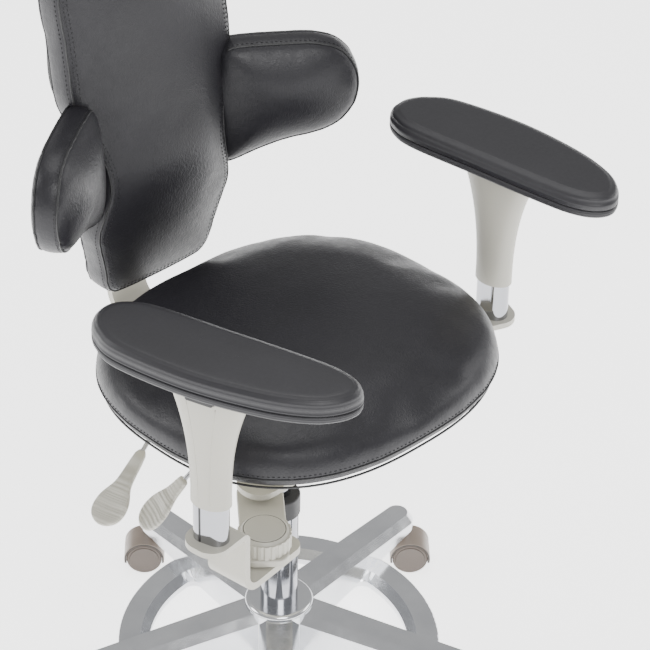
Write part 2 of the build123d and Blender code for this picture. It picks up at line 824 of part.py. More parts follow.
    with BuildPart() as release_button:
        with BuildSketch(press_frame.offset(4.5)) as button_plan:
            Rectangle(36, 14)
            fillet(button_plan.vertices(), radius=3)
        extrude(amount=14)
        button_face = release_button.faces().sort_by(Axis((0, 0, 0), outer_side))[-1]
        fillet(button_face.edges(), radius=2)
    release_button.part.label = f"release_button_{name}"
    export_step(release_button.part, f"parts/release_button_{name}.step")

    with BuildPart() as pad_plate:
        with BuildSketch(Plane.XY.offset(housing_top + 0.1)):
            with Locations(turned):
                SlotOverall(170, 56)
        extrude(amount=pad_floor - housing_top - 0.1)
        with BuildSketch(Plane.XY.offset(housing_top + 0.1)):
            with Locations(turned):
                Circle(5)
        extrude(amount=-14)
    pad_plate.part.label = f"pad_plate_{name}"
    export_step(pad_plate.part, f"parts/pad_plate_{name}.step")

    pad_run = Vector(cos(radians(head_pad)), sin(radians(head_pad)), 0)
    pad_spot = Vector(post[0], post[1], 0) + pad_run * pad_forward - outer_side * pad_inward
    with BuildPart() as arm_pad:
        with BuildSketch(Plane.XY.offset(pad_floor)):
            with BuildLine():
                Spline(pad_outline((pad_spot.X, pad_spot.Y), head_pad, side), periodic=True)
            make_face()
        extrude(amount=pad_thick)
        fillet(arm_pad.faces().filter_by(Axis.Z).edges(), radius=9)
    arm_pad.part.label = f"arm_pad_{name}"
    export_step(arm_pad.part, f"parts/arm_pad_{name}.step")
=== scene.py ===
"""Looks of the dentist stool: leather, paint, castings, stage and camera around the fixed frame."""

import json
import math

import bmesh
import bpy
from mathutils import Matrix, Vector
from mathutils.bvhtree import BVHTree


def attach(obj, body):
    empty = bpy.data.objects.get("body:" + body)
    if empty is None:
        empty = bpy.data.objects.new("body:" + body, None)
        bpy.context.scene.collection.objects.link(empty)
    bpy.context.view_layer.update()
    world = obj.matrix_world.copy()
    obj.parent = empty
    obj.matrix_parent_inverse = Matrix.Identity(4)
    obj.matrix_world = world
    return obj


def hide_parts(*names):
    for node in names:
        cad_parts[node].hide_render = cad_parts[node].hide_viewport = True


bl_info = {
    "name": "Dentist stool looks",
    "version": (1, 0, 0),
    "blender": (4, 5, 0),
    "location": "View3D > Sidebar > Stool",
    "description": "Builds the upholstery, finishes and stage of a dentist stool",
    "category": "Object",
}

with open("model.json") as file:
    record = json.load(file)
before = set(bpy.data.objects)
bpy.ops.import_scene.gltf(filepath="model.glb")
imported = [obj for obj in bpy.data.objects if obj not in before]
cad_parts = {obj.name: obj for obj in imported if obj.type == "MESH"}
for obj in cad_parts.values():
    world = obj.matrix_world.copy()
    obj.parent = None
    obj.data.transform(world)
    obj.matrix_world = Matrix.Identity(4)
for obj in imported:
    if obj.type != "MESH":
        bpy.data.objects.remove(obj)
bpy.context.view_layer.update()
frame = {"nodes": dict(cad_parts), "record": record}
NODES = frame["nodes"]
MM = 0.001
SIDES = {"right": -1, "left": 1}


# ------------------------------------------------------------------ settings
def length(name, text, default):
    return bpy.props.FloatProperty(
        name=name, description=text, default=default, unit="LENGTH", subtype="DISTANCE"
    )


def colour(name, text, default):
    return bpy.props.FloatVectorProperty(
        name=name, description=text, default=default, size=3, min=0, max=1, subtype="COLOR"
    )


class StoolSizes(bpy.types.PropertyGroup):
    seat_crown: length("Seat front roll", "How far the seat top falls away at its front edge", 0.010)
    stitch_pitch: length("Stitch pitch", "Distance from one stitch to the next", 0.0062)
    welt_radius: length("Welt radius", "Radius of the sewn welt", 0.0016)
    panel_crown: length("Panel crown", "Bulge of the central back panel", 0.012)
    wing_crown: length("Wing crown", "Bulge of the side wings", 0.021)


class StoolColours(bpy.types.PropertyGroup):
    leather: colour("Leather", "Charcoal leather", (0.015, 0.0145, 0.0175))
    thread: colour("Thread", "Stitching thread", (0.010, 0.010, 0.011))
    ivory: colour("Ivory", "Painted steel and plastic of the arms", (0.47, 0.455, 0.395))
    hood: colour("Caster hood", "Caster hoods", (0.25, 0.205, 0.170))
    tread: colour("Caster wheel", "Caster caps and treads", (0.105, 0.082, 0.066))
    # Black also colours painted shade: the cords and strips in the seat crevice, the post and knob grooves and the
    # caster hood gaps.
    black: colour("Black", "Collar, buttons and plates", (0.012, 0.012, 0.013))


# ------------------------------------------------------------------ finishes
class Finish:
    """A node-based finish that reads object coordinates."""

    def __init__(self, name, base, rough, metallic=0.0):
        self.mat = bpy.data.materials.new(name)
        self.mat.use_nodes = True
        self.tree = self.mat.node_tree
        self.bsdf = self.tree.nodes["Principled BSDF"]
        self.place = self.add("ShaderNodeTexCoord").outputs["Object"]
        self.set(**{"Base Color": (*base, 1), "Roughness": rough, "Metallic": metallic})

    def add(self, kind, **values):
        node = self.tree.nodes.new(kind)
        for key, value in values.items():
            setattr(node, key, value)
        return node

    def set(self, **values):
        for key, value in values.items():
            self.bsdf.inputs[key].default_value = value

    def join(self, a, b):
        self.tree.links.new(a, b)

    def noise(self, scale, detail=3.0, stretch=None, rough=0.5):
        node = self.add("ShaderNodeTexNoise")
        node.inputs["Scale"].default_value = scale
        node.inputs["Detail"].default_value = detail
        node.inputs["Roughness"].default_value = rough
        place = self.place
        if stretch:
            mapping = self.add("ShaderNodeMapping")
            mapping.inputs["Scale"].default_value = stretch
            self.join(place, mapping.inputs["Vector"])
            place = mapping.outputs["Vector"]
        self.join(place, node.inputs["Vector"])
        return node.outputs["Fac"]

    def cells(self, scale):
        node = self.add("ShaderNodeTexVoronoi", feature="F1")
        node.inputs["Scale"].default_value = scale
        self.join(self.place, node.inputs["Vector"])
        return node.outputs["Distance"]

    def remap(self, source, low, high, to_low, to_high):
        node = self.add("ShaderNodeMapRange")
        for key, value in (("From Min", low), ("From Max", high), ("To Min", to_low), ("To Max", to_high)):
            node.inputs[key].default_value = value
        self.join(source, node.inputs["Value"])
        return node.outputs["Result"]

    def tint(self, source, dark, light):
        node = self.add("ShaderNodeMix", data_type="RGBA")
        node.inputs["A"].default_value = (*dark, 1)
        node.inputs["B"].default_value = (*light, 1)
        self.join(source, node.inputs["Factor"])
        self.join(node.outputs["Result"], self.bsdf.inputs["Base Color"])

    def rough(self, source):
        self.join(source, self.bsdf.inputs["Roughness"])

    def relief(self, source, strength, depth, after=None):
        node = self.add("ShaderNodeBump")
        node.inputs["Strength"].default_value = strength
        node.inputs["Distance"].default_value = depth
        self.join(source, node.inputs["Height"])
        if after is not None:
            self.join(after, node.inputs["Normal"])
        self.join(node.outputs["Normal"], self.bsdf.inputs["Normal"])
        return node.outputs["Normal"]


def shade(c, k):
    return tuple(min(1.0, v * k) for v in c)


def make_finishes(c):
    made = {}
    leather = Finish("charcoal leather", c.leather, 0.42)
    patches = leather.remap(leather.noise(9, 4), 0.3, 0.7, 0, 1)
    leather.tint(patches, shade(c.leather, 0.9), shade(c.leather, 1.14))
    leather.rough(leather.remap(leather.noise(120, 3), 0.3, 0.7, 0.34, 0.43))
    soft = leather.relief(leather.noise(45, 3), 0.14, 0.002)
    grain = leather.relief(leather.noise(330, 3, stretch=(1, 1, 0.62), rough=0.6), 0.42, 0.0010, after=soft)
    leather.relief(leather.cells(620), 0.25, 0.0005, after=grain)
    leather.set(**{"Specular IOR Level": 0.36})
    made["leather"] = leather.mat

    pad = Finish("moulded pad skin", c.leather, 0.46)
    pad.tint(pad.remap(pad.noise(14, 3), 0.3, 0.7, 0, 1), shade(c.leather, 0.95), shade(c.leather, 1.12))
    pad.rough(pad.remap(pad.noise(200, 3), 0.3, 0.7, 0.43, 0.5))
    pad.relief(pad.cells(1300), 0.14, 0.0003)
    made["pad_skin"] = pad.mat

    thread = Finish("sewing thread", c.thread, 0.65)
    thread.relief(thread.noise(3000, 2), 0.4, 0.0002)
    made["thread"] = thread.mat

    for key, name, rough, low, high in (
        ("ivory_paint", "ivory powder coat", 0.36, 0.32, 0.41),
        ("ivory_plastic", "ivory moulded plastic", 0.40, 0.36, 0.45),
    ):
        coat = Finish(name, c.ivory, rough)
        coat.tint(coat.remap(coat.noise(6, 3), 0.3, 0.7, 0, 1), shade(c.ivory, 0.975), shade(c.ivory, 1.02))
        coat.rough(coat.remap(coat.noise(150, 3), 0.3, 0.7, low, high))
        coat.relief(coat.noise(900, 2), 0.05, 0.0003)
        made[key] = coat.mat

    # The black plastic finish also serves as painted shade in the seat crevice, the post and knob grooves and the
    # caster hood gaps.
    for key, name, base, rough, scale in (
        ("taupe_hood", "taupe hood plastic", c.hood, 0.34, 300),
        ("taupe_wheel", "taupe wheel plastic", c.tread, 0.38, 300),
        ("black_plastic", "black plastic and painted shade", c.black, 0.42, 500),
    ):
        plastic = Finish(name, base, rough)
        patches = plastic.remap(plastic.noise(20, 3), 0.3, 0.7, 0, 1)
        plastic.tint(patches, shade(base, 0.93), shade(base, 1.07))
        plastic.rough(plastic.remap(plastic.noise(160, 3), 0.3, 0.7, rough - 0.04, rough + 0.06))
        plastic.relief(plastic.noise(scale, 2), 0.06, 0.0003)
        made[key] = plastic.mat

    cast = Finish("polished aluminium", (0.72, 0.725, 0.735), 0.22, 1.0)
    cast.tint(cast.remap(cast.noise(12, 3), 0.3, 0.7, 0, 1), (0.60, 0.61, 0.63), (0.72, 0.73, 0.75))
    cast.rough(cast.remap(cast.noise(40, 4), 0.3, 0.7, 0.12, 0.22))
    cast.relief(cast.noise(70, 3), 0.05, 0.001)
    made["polished_aluminium"] = cast.mat

    chrome = Finish("chrome plate", (0.36, 0.365, 0.39), 0.12, 1.0)
    chrome.rough(chrome.remap(chrome.noise(60, 3), 0.3, 0.7, 0.05, 0.11))
    made["chrome_tube"] = chrome.mat

    for key, name, base in (
        ("screw_steel", "zinc plated steel", (0.56, 0.56, 0.57)),
        ("steel_rod", "satin steel rod", (0.42, 0.42, 0.43)),
    ):
        steel = Finish(name, base, 0.3, 1.0)
        steel.rough(steel.remap(steel.noise(400, 3), 0.3, 0.7, 0.24, 0.38))
        made[key] = steel.mat

    floor = Finish("studio floor", (0.95, 0.95, 0.95), 0.6)
    floor.rough(floor.remap(floor.noise(3, 2), 0.3, 0.7, 0.5, 0.6))
    floor.set(**{"Emission Color": (1, 1, 1, 1), "Emission Strength": 2.4})
    made["floor"] = floor.mat
    return made


def finish_of(key):
    names = {
        "leather": "charcoal leather",
        "pad_skin": "moulded pad skin",
        "thread": "sewing thread",
        "ivory_paint": "ivory powder coat",
        "ivory_plastic": "ivory moulded plastic",
        "taupe_hood": "taupe hood plastic",
        "taupe_wheel": "taupe wheel plastic",
        "black_plastic": "black plastic and painted shade",
        "polished_aluminium": "polished aluminium",
        "chrome_tube": "chrome plate",
        "screw_steel": "zinc plated steel",
        "steel_rod": "satin steel rod",
        "floor": "studio floor",
    }
    return bpy.data.materials[names[key]]


# ------------------------------------------------------------------ modelling helpers
def keep(bm, name, body, finish, sharp=None):
    """Turns a finished bmesh into a piece that rides on a body."""
    bmesh.ops.remove_doubles(bm, verts=bm.verts, dist=1e-6)
    bmesh.ops.recalc_face_normals(bm, faces=bm.faces)
    for face in bm.faces:
        face.smooth = True
    if sharp is not None:
        for edge in bm.edges:
            if len(edge.link_faces) == 2 and edge.calc_face_angle() > sharp:
                edge.smooth = False
    mesh = bpy.data.meshes.new(name)
    bm.to_mesh(mesh)
    bm.free()
    piece = bpy.data.objects.new(name, mesh)
    bpy.context.scene.collection.objects.link(piece)
    mesh.materials.append(finish_of(finish))
    if body:
        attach(piece, body)
    return piece


def grow(bm, rings):
    """Extrudes one filled ring through a row of rings, each a list of points."""
    count = len(rings[0])
    order = bm.verts.layers.int.new("order")
    made = bmesh.ops.create_circle(bm, cap_ends=True, segments=count, radius=1.0)
    for k, vert in enumerate(made["verts"]):
        vert[order] = k
        vert.co = rings[0][k]
    face = made["verts"][0].link_faces[0]
    start = face
    for ring in rings[1:]:
        out = bmesh.ops.extrude_face_region(bm, geom=[face], use_keep_orig=face is start)
        face = next(item for item in out["geom"] if isinstance(item, bmesh.types.BMFace))
        for vert in face.verts:
            vert.co = ring[vert[order]]
    for cap in (start, face):
        bmesh.ops.poke(bm, faces=[cap])
    return bm


def smooth_path(points, steps=8, closed=False):
    """Catmull-Rom line through a few points."""
    count = len(points)
    line = []
    spans = count if closed else count - 1
    for k in range(spans):
        near = [k + j for j in (-1, 0, 1, 2)]
        a, b, c, d = (points[i % count] if closed else points[min(max(i, 0), count - 1)] for i in near)
        for s in range(steps):
            t = s / steps
            bend, twist = 2 * a - 5 * b + 4 * c - d, 3 * b - a - 3 * c + d
            line.append(0.5 * ((2 * b) + (c - a) * t + bend * t**2 + twist * t**3))
    if not closed:
        line.append(points[-1].copy())
    return line


def value_at(stations, x):
    """Smooth value between stations (x, y)."""
    path = smooth_path([Vector((a, b)) for a, b in stations], 10)
    if x <= path[0].x:
        return path[0].y
    for p, q in zip(path, path[1:]):
        if x <= q.x:
            return p.y + (q.y - p.y) * (x - p.x) / max(1e-9, q.x - p.x)
    return path[-1].y


def even_steps(path, pitch, closed=True):
    """Points at a fixed spacing along a line, with their directions."""
    loop = list(path) + ([path[0]] if closed else [])
    total = sum((b - a).length for a, b in zip(loop, loop[1:]))
    count = max(2, round(total / pitch))
    step = total / count
    out, walked, goal = [], 0.0, step / 2
    for a, b in zip(loop, loop[1:]):
        span = (b - a).length
        while span > 0 and goal <= walked + span:
            out.append((a.lerp(b, (goal - walked) / span), (b - a).normalized()))
            goal += step
        walked += span
    return out


def tube(path, radius, name, body, finish, closed=True, flat=1.0):
    """A round cord of constant radius swept along a line."""
    bm = bmesh.new()
    sides = 8
    loops = []
    count = len(path)
    for k, p in enumerate(path):
        if closed:
            along = path[(k + 1) % count] - path[k - 1]
        else:
            along = path[min(k + 1, count - 1)] - path[max(k - 1, 0)]
        turn = along.to_track_quat("Z", "Y").to_matrix().to_4x4()
        place = Matrix.Translation(p) @ turn @ Matrix.Diagonal((1, flat, 1, 1))
        made = bmesh.ops.create_circle(bm, segments=sides, radius=radius, matrix=place)
        loops.append(made["verts"])
    for k in range(count if closed else count - 1):
        a, b = loops[k], loops[(k + 1) % count]
        shift = min(range(sides), key=lambda s: (a[0].co - b[s].co).length)
        for j in range(sides):
            quad = (a[j], a[(j + 1) % sides], b[(j + 1 + shift) % sides], b[(j + shift) % sides])
            bmesh.ops.contextual_create(bm, geom=list(quad))
    bmesh.ops.holes_fill(bm, edges=bm.edges, sides=sides)
    return keep(bm, name, body, finish)


def stitches(path, normals, name, body, pitch, closed=True, size=(0.0019, 0.00052, 0.00045), offset=0.0003):
    """A row of short threads lying on a surface."""
    bm = bmesh.new()
    for p, along in even_steps(path, pitch, closed):
        out = normals(p)
        side = along.cross(out).normalized()
        turn = Matrix((along, side, out)).transposed().to_4x4()
        place = Matrix.Translation(p + out * offset) @ turn @ Matrix.Diagonal((*size, 1))
        bmesh.ops.create_icosphere(bm, subdivisions=1, radius=1.0, matrix=place)
    return keep(bm, name, body, "thread")


def skin_of(obj):
    """Surface lookup on a finished piece."""
    mesh = obj.data
    corners = [v.co.copy() for v in mesh.vertices]
    return BVHTree.FromPolygons(corners, [tuple(p.vertices) for p in mesh.polygons])


def relax(bm, times, factor):
    """Smooths a whole mesh a few times."""
    for _ in range(times):
        bmesh.ops.smooth_vert(
            bm, verts=bm.verts, factor=factor, use_axis_x=True, use_axis_y=True, use_axis_z=True
        )


def lay_on(tree, path, lift=0.0):
    """Moves each point of a line onto a surface."""
    out = []
    for p in path:
        spot, normal, _, _ = tree.find_nearest(p)
        out.append(spot + normal * lift)
    return out


def puff(piece, voxel, pressure, cap, frames=20, hold=None, ease=6):
    """Inflates a padded piece as stuffed leather and keeps the result."""
    start = piece.data
    remesh = piece.modifiers.new("even mesh", "REMESH")
    remesh.mode = "VOXEL"
    remesh.voxel_size = voxel
    bpy.context.view_layer.update()
    even = bpy.data.meshes.new_from_object(piece.evaluated_get(bpy.context.evaluated_depsgraph_get()))
    piece.modifiers.clear()
    piece.data = even
    rest = [v.co.copy() for v in even.vertices]
    if hold is not None:
        group = piece.vertex_groups.new(name="held")
        for k, co in enumerate(rest):
            weight = hold(co)
            if weight > 0:
                group.add([k], weight, "REPLACE")
    cloth = piece.modifiers.new("stuffing", "CLOTH")
    settings = cloth.settings
    settings.quality = 5
    settings.mass = 0.4
    settings.tension_stiffness = settings.compression_stiffness = 22
    settings.shear_stiffness = 12
    settings.bending_stiffness = 3.0
    settings.use_pressure = True
    settings.uniform_pressure_force = pressure
    settings.effector_weights.gravity = 0
    cloth.collision_settings.use_collision = False
    if hold is not None:
        settings.vertex_group_mass = "held"
    scene = bpy.context.scene
    for k in range(1, frames + 1):
        scene.frame_set(k)
    swollen = piece.evaluated_get(bpy.context.evaluated_depsgraph_get()).to_mesh()
    moved = [v.co.copy() for v in swollen.vertices]
    piece.modifiers.clear()
    scene.frame_set(1)
    for vert, a, b in zip(even.vertices, rest, moved):
        step = b - a
        if step.length > cap:
            step *= cap / step.length
        vert.co = a + step
    bm = bmesh.new()
    bm.from_mesh(even)
    relax(bm, ease, 0.4)
    for face in bm.faces:
        face.smooth = True
    bm.to_mesh(even)
    bm.free()
    even.materials.clear()
    for mat in start.materials:
        even.materials.append(mat)
    return piece


def round_normals(path):
    """Inward plan normals of a closed flat outline of (a, b) points."""
    count = len(path)
    area = sum(path[k - 1].x * path[k].y - path[k].x * path[k - 1].y for k in range(count))
    turn = 1 if area > 0 else -1
    out = []
    for k in range(count):
        along = (path[(k + 1) % count] - path[k - 1]).normalized()
        out.append(Vector((-along.y, along.x)) * turn)
    return out


def inset(path, distance):
    return [p + n * distance for p, n in zip(path, round_normals(path))]


def superellipse(width, depth, power, count):
    ring = []
    for k in range(count):
        t = 2 * math.pi * k / count
        c, s = math.cos(t), math.sin(t)
        x = width / 2 * math.copysign(abs(c) ** (2 / power), c)
        y = depth / 2 * math.copysign(abs(s) ** (2 / power), s)
        ring.append(Vector((x, y)))
    return ring


def sizes():
    return bpy.context.scene.stool_sizes


# ------------------------------------------------------------------ seat
SEAT_AT = Vector((0, -0.031, 0.533))
SEAT_TILT = math.radians(2.0)


def seat_place(x, y, h):
    back = Vector((0, math.cos(SEAT_TILT), -math.sin(SEAT_TILT)))
    up = Vector((0, math.sin(SEAT_TILT), math.cos(SEAT_TILT)))
    return SEAT_AT + Vector((x, 0, 0)) + back * y + up * h


def seat_drop(y):
    """The seat rolls down toward its front edge."""
    return sizes().seat_crown * max(0.0, (-y - 0.09) / 0.14) ** 2


class StoolSeat(bpy.types.Operator):
    """Builds the stuffed leather seat with its welt and stitching"""

    bl_idname = "stool.seat"
    bl_label = "Seat cushion"

    def execute(self, context):
        size = sizes()
        count = 128
        rows = (
            (60, 0), (16, 0), (5, 2), (1.2, 6.5), (0.6, 11.5), (2.0, 16), (0.7, 20.5), (0, 29), (1.5, 39),
            (6, 48), (14, 56), (26, 61.8), (44, 65.8), (80, 69.6), (120, 72), (165, 73.6), (205, 74),
        )  # fmt: skip
        rings = []
        for gap, height in rows:
            ring = []
            for p in superellipse(0.486 - 2 * gap * MM, 0.454 - 2 * gap * MM, 2.5, count):
                tall = height * MM - (seat_drop(p.y) if height > 34 else 0) * min(1, (height - 34) / 28)
                ring.append(seat_place(p.x, p.y, tall))
            rings.append(ring)
        seat = keep(grow(bmesh.new(), rings), "seat_upholstery", "seat", "leather")
        held = seat_place(0, 0, 0.0)
        up = Vector((0, math.sin(SEAT_TILT), math.cos(SEAT_TILT)))

        def hold(co):
            h = (co - held).dot(up)
            return 1.0 if h < 0.012 or abs(h - 0.016) < 0.004 else 0.0

        puff(seat, 0.006, 2.2, 0.006, hold=hold, ease=16)
        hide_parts("seat_cushion")
        tree = skin_of(seat)
        line = [seat_place(p.x, p.y, 0.016) for p in superellipse(0.4850, 0.4530, 2.5, 160)]
        seam = lay_on(tree, line, 0.0002)
        tube(seam, size.welt_radius * 0.75, "seat_seam", "seat", "black_plastic")
        row = [p + up * 0.0045 for p in seam]
        outward = lambda p: tree.find_nearest(p)[1]
        stitches(lay_on(tree, row, 0.0001), outward, "seat_stitches", "seat", size.stitch_pitch)
        # Painted shade: a black cord laid in the crevice where the cushion's bottom roll meets the seat shell.
        base = [seat_place(p.x, p.y, 0.0005) for p in superellipse(0.470, 0.438, 2.5, 160)]
        tube(base, 0.0015, "seat_crevice_shade", "seat", "black_plastic")
        return {"FINISHED"}


# ------------------------------------------------------------------ backrest
BACK_LINE = (
    (0.5466, 0.234), (0.633, 0.221), (0.7248, 0.207), (0.822, 0.229), (0.9408, 0.246), (1.065, 0.262),
)  # fmt: skip
PANEL_EDGE = (
    (0.062, 0.541), (0.082, 0.549), (0.091, 0.568), (0.097, 0.595), (0.106, 0.628), (0.112, 0.652),
    (0.108, 0.680), (0.099, 0.715), (0.099, 0.745), (0.108, 0.780), (0.121, 0.812), (0.131, 0.845), (0.132, 0.880),
    (0.132, 0.930), (0.134, 0.980), (0.128, 1.012), (0.108, 1.036), (0.070, 1.047),
)  # fmt: skip


def back_front(z):
    return value_at([(a, b) for a, b in BACK_LINE], z)


def panel_half(z):
    """Half the width of the panel at a height."""
    pairs = sorted((b, a) for a, b in PANEL_EDGE)
    return value_at(pairs, min(max(z, 0.545), 1.03))


def panel_place(x, z, depth):
    """A point behind the front face of the backrest."""
    return Vector((x, back_front(z) + depth, z))


def panel_outline():
    right = [Vector(p) for p in PANEL_EDGE]
    left = [Vector((-x, z)) for x, z in reversed(PANEL_EDGE)]
    return smooth_path(right + [Vector((0, 1.050))] + left + [Vector((0, 0.5395))], 5, closed=True)


class StoolBackrest(bpy.types.Operator):
    """Builds the central back panel with its edge seams"""

    bl_idname = "stool.backrest"
    bl_label = "Backrest panel"

    def execute(self, context):
        size = sizes()
        outline = panel_outline()
        middle = Vector((0, 0.795))
        rings = []

        def ring(path, depth, k=1.0, crown=0.0):
            pts = []
            for p in path:
                q = middle + (p - middle) * k
                swell = crown * (1 - (q.x / panel_half(q.y)) ** 2)
                pts.append(panel_place(q.x, q.y, depth - swell))
            rings.append(pts)

        for k in (0.04, 0.2, 0.36, 0.52, 0.68, 0.84, 0.96):
            ring(outline, 0.0488, k)
        rim = ((2, 0.0478), (0.3, 0.043), (0, 0.030), (0, 0.018), (0.6, 0.0095), (2.2, 0.005), (5.5, 0.002))
        for gap, depth in rim:
            ring(inset(outline, gap * MM), depth)
        inner = inset(outline, 9 * MM)
        for k in (1.0, 0.95, 0.88, 0.8, 0.71, 0.62, 0.53, 0.44, 0.35, 0.26, 0.17, 0.09, 0.03):
            ring(inner, 0.0008, k, size.panel_crown * min(1.0, (1 - k) / 0.35))
        panel = keep(grow(bmesh.new(), rings), "back_upholstery", "back", "leather")

        def hold(co):
            return 1.0 if co.y - back_front(co.z) > 0.006 else 0.0

        puff(panel, 0.006, 2.0, 0.005, hold=hold)
        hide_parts("back_cushion")
        tree = skin_of(panel)
        edge = [panel_place(p.x, p.y, 0.0045) for p in inset(outline, 2.6 * MM)]
        seam = lay_on(tree, edge, 0.0001)
        tube(seam, size.welt_radius * 0.8, "back_edge_seam", "back", "black_plastic")
        rear = [panel_place(p.x, p.y, 0.045) for p in inset(outline, 0.2 * MM)]
        rear = lay_on(tree, rear, 0.0001)
        tube(rear, size.welt_radius * 0.8, "back_rear_seam", "back", "black_plastic")
        outward = lambda p: tree.find_nearest(p)[1]
        for number, gap in enumerate((7.5, 13.0)):
            row = [panel_place(p.x, p.y, 0.0) for p in inset(outline, gap * MM)]
            row = lay_on(tree, row, 0.0001)
            stitches(row, outward, f"back_stitches_{number + 1}", "back", size.stitch_pitch)
        side_row = [panel_place(p.x, p.y, 0.0105) for p in outline]
        stitches(lay_on(tree, side_row, 0.0001), outward, "back_side_stitches", "back", size.stitch_pitch)
        return {"FINISHED"}


WING_ANGLE = math.radians(-32.5)
WING_EDGE = (
    (0.010, 0.675), (0.040, 0.688), (0.080, 0.702), (0.118, 0.710), (0.148, 0.724), (0.168, 0.750),
    (0.175, 0.782), (0.169, 0.812), (0.150, 0.837), (0.118, 0.848), (0.070, 0.849), (0.030, 0.849),
    (-0.004, 0.844), (-0.012, 0.815), (-0.020, 0.775), (-0.024, 0.735), (-0.020, 0.700), (-0.008, 0.672),
)  # fmt: skip


class StoolWings(bpy.types.Operator):
    """Builds the two side wings of the backrest"""

    bl_idname = "stool.wings"
    bl_label = "Backrest wings"

    def execute(self, context):
        size = sizes()
        for name, side in SIDES.items():
            run = Vector((side * math.cos(WING_ANGLE), math.sin(WING_ANGLE), 0))
            rear = Vector((0, 0, 1)).cross(run) * side
            root = Vector((side * 0.104, 0.219, 0))

            def place(s, z, depth):
                curl = 0.010 * max(0.0, s / 0.17) ** 2
                return root + run * s + Vector((0, 0, z)) + rear * (depth - curl)

            outline = smooth_path([Vector(p) for p in WING_EDGE], 8, closed=True)
            middle = Vector((0.07, 0.782))
            rings = []

            def ring(path, depth, k=1.0):
                rings.append([place(*(middle + (p - middle) * k), depth) for p in path])

            for k in (0.05, 0.5, 0.9):
                ring(outline, 0.044, k)
            rim = ((3, 0.0435), (0.8, 0.039), (0, 0.030), (0, 0.019), (1, 0.011), (3.2, 0.0055), (7, 0.002))
            for gap, depth in rim:
                ring(inset(outline, gap * MM), depth)
            inner = inset(outline, 11 * MM)
            for k in (1.0, 0.9, 0.75, 0.55, 0.3, 0.06):
                ring(inner, 0.0005 - size.wing_crown * (1 - k * k), k)
            wing = keep(grow(bmesh.new(), rings), f"wing_upholstery_{name}", "back", "leather")

            def hold(co):
                return 1.0 if (co - root).dot(rear) > 0.008 or (co - root).dot(run) < 0.004 else 0.0

            puff(wing, 0.0055, 2.0, 0.005, hold=hold, ease=14)
            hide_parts(f"back_wing_{name}")
            tree = skin_of(wing)
            outward = lambda p: tree.find_nearest(p)[1]
            shown = [p for p in outline if p.x > -0.002]
            first = max(range(len(shown)), key=lambda k: (shown[k] - shown[k - 1]).length)
            shown = shown[first:] + shown[:first]
            for depth, label in ((0.0060, "rim"), (0.0395, "rear_rim")):
                line = [place(p.x, p.y, depth) for p in shown]
                seam = lay_on(tree, line, 0.0002)
                tube(
                    seam, size.welt_radius, f"wing_{label}_{name}", "back", "black_plastic",
                    closed=False,
                )  # fmt: skip
            row = [place(p.x, p.y, 0.0115) for p in shown]
            row = lay_on(tree, row)
            stitches(row, outward, f"wing_stitches_{name}", "back", size.stitch_pitch, closed=False)
        return {"FINISHED"}


# ------------------------------------------------------------------ armrests
ARM_LINK = 0.099
ARM_POSES = {"right": (-1, -128.8, -171.2, -70.6), "left": (1, 24.6, -20.4, -83.2)}
PAD_FLOOR, PAD_HALF, PAD_WIDTH = 0.744, 0.170, 0.110
PAD_FORWARD, PAD_INWARD = 0.013, 0.015


def toward(start, heading, reach):
    turn = math.radians(heading)
    return start + Vector((math.cos(turn), math.sin(turn), 0)) * reach


def arm_places(name):
    side, first, second, pad = ARM_POSES[name]
    pivot = Vector((side * 0.115, -0.088, 0))
    elbow = toward(pivot, first, ARM_LINK)
    post = toward(elbow, second, ARM_LINK)
    return side, elbow, post, pad


def pad_plan(side):
    """Plan of an arm pad as (along, outward) points."""
    stations = (
        (-1.0, 0.0), (-0.975, 0.17), (-0.874, 0.335), (-0.657, 0.465), (-0.1, 0.5), (0.42, 0.46),
        (0.749, 0.372), (0.931, 0.215), (1.0, 0.0),
    )  # fmt: skip
    ring = [(s, w) for s, w in stations] + [(s, -w) for s, w in reversed(stations[1:-1])]
    points = []
    for s, w in ring:
        bow = 0.014 * (1 - s * s)
        points.append(Vector((s * PAD_HALF, side * (bow + w * PAD_WIDTH))))
    return smooth_path(points, 8, closed=True)


class StoolPads(bpy.types.Operator):
    """Builds the moulded arm pads with their parting crease"""

    bl_idname = "stool.pads"
    bl_label = "Arm pads"

    def execute(self, context):
        for name in SIDES:
            side, _, post, heading = arm_places(name)
            along = toward(Vector(), heading, 1.0)
            out = Vector((-along.y, along.x, 0))

            middle = post + along * PAD_FORWARD - out * side * PAD_INWARD

            def place(p, height):
                return middle + along * p.x + out * p.y + Vector((0, 0, PAD_FLOOR + height))

            plan = pad_plan(side)
            rings = []

            def ring(path, height, k=1.0):
                rings.append([place(p * k, height) for p in path])

            for k in (0.1, 0.6, 0.88):
                ring(plan, 0.0, k)
            rows = (
                (5, 0.3), (1.8, 2.2), (0.4, 5.5), (0, 9), (0.15, 11), (1.3, 12.0), (0.15, 13), (0, 16),
                (0.5, 21), (2.4, 26), (6, 29.6), (11, 31.6),
            )  # fmt: skip
            for gap, height in rows:
                ring(inset(plan, gap * MM), height * MM)
            inner = inset(plan, 17 * MM)
            for k in (1.0, 0.86, 0.7, 0.54, 0.38, 0.22, 0.08):
                ring(inner, 0.0323 + 0.0010 * (1 - k * k), k)
            pad = keep(grow(bmesh.new(), rings), f"pad_skin_{name}", f"arm_rest_{name}", "pad_skin")
            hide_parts(f"arm_pad_{name}")
            soft = pad.modifiers.new("soft", "SUBSURF")
            soft.levels = soft.render_levels = 1
        return {"FINISHED"}


